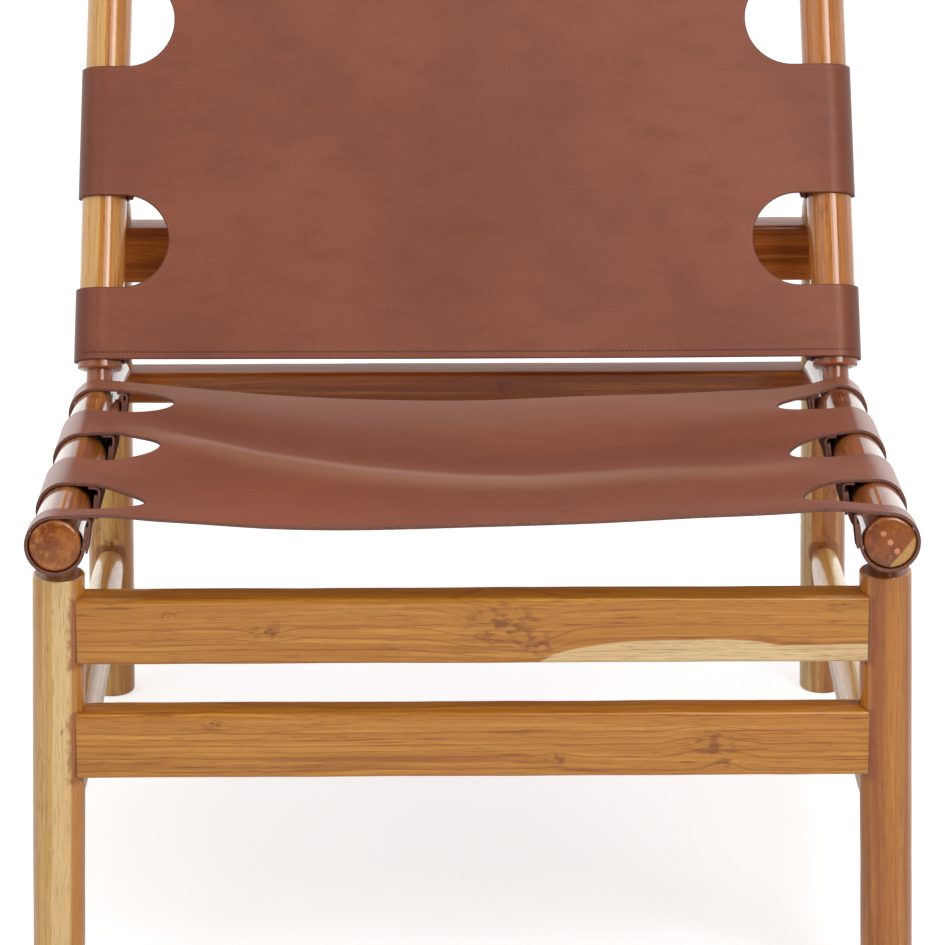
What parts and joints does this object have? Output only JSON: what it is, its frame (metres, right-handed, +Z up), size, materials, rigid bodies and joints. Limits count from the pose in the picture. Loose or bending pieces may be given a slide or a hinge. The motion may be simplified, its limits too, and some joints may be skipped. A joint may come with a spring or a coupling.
{
  "type": "sling accent chair",
  "caption": "Low armless lounge chair: a lacquered teak frame of turned sticks and flat rails with a leather sling seat and a leather sling back looped round it.",
  "frame": {"origin": "centre of the chair's footprint box, on the floor", "axes": "+Z up, -Y towards the front of the chair, +X to the right as seen from the front"},
  "size_m": [0.6846, 0.7484, 0.7455],
  "materials": {
    "teak": "glossy clear lacquer over honey-coloured teak with visible grain",
    "plug": "paler filler plugs under the same lacquer",
    "leather": "red-brown saddle leather, smooth, with dark cut edges"
  },
  "bodies": {
    "root": {"front_leg_left": "teak", "front_leg_right": "teak", "rear_leg_left": "teak", "rear_leg_right": "teak", "seat_rail_left": "teak", "seat_rail_right": "teak", "back_post_left": "teak", "back_post_right": "teak", "front_rail_upper": "teak", "front_rail_lower": "teak", "rear_rail_upper": "teak", "rear_rail_lower": "teak", "side_stretcher_left": "teak", "side_stretcher_right": "teak", "rail_plug_1": "plug", "rail_plug_2": "plug", "rail_plug_3": "plug", "seat_sling": "leather", "back_sling": "leather", "seat_tab_1_left": "leather", "seat_tab_1_right": "leather", "seat_tab_2_left": "leather", "seat_tab_2_right": "leather", "seat_tab_3_left": "leather", "seat_tab_3_right": "leather", "seat_tab_4_left": "leather", "seat_tab_4_right": "leather", "back_tab_1_left": "leather", "back_tab_1_right": "leather", "back_tab_2_left": "leather", "back_tab_2_right": "leather", "back_tab_3_left": "leather", "back_tab_3_right": "leather"}
  },
  "joints": []
}
